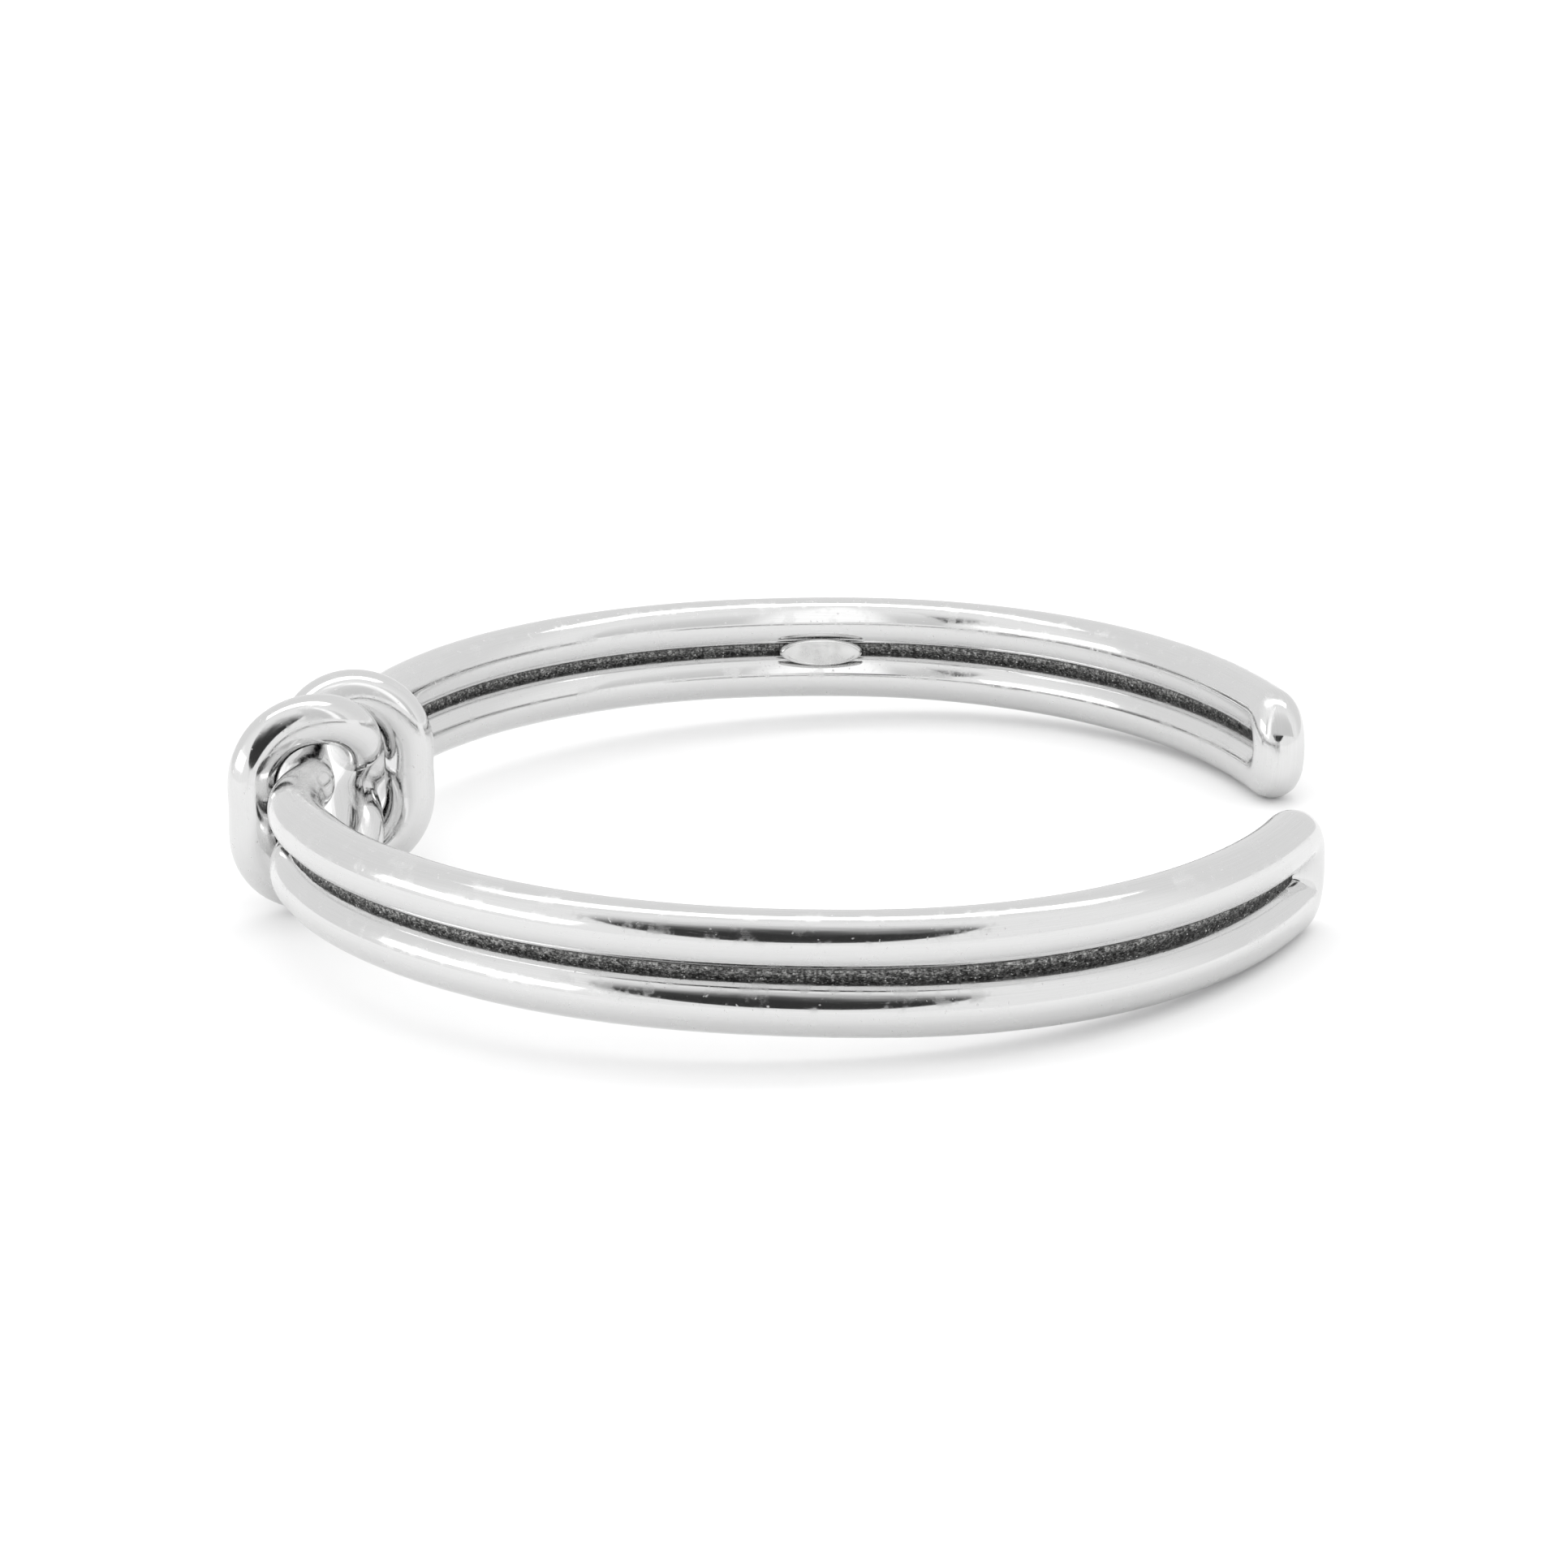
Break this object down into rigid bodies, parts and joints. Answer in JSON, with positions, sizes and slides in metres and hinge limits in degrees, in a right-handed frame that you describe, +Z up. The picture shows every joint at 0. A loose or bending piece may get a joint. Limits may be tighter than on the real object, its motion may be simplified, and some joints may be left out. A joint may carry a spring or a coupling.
{
  "type": "open cuff bracelet",
  "caption": "Open cuff bracelet of two interlocked double-wire links joined by a reef knot, with an opening for the wrist.",
  "frame": {"origin": "under the middle of the box, at the height of the knot's lowest bend", "axes": "+X from the knot to the opening, +Y from the front link to the back link, +Z up; the cuff's plane is level"},
  "size_m": [0.0534, 0.0594, 0.0107],
  "materials": {
    "back_link": "polished silver",
    "front_link": "polished silver",
    "back_web": "rough oxidised silver",
    "front_web": "rough oxidised silver",
    "oval_plate": "polished silver"
  },
  "bodies": {
    "back": {"back_link": "back_link", "back_web": "back_web", "oval_plate": "oval_plate"},
    "front": {"front_link": "front_link", "front_web": "front_web"}
  },
  "joints": [
    {"name": "knot_rock", "type": "hinge", "parent": "back", "child": "front", "pos_m": [-0.02217, 0, 0.00535], "axis": [0, 0, 1], "range_deg": [-2.5, 2.5]}
  ]
}
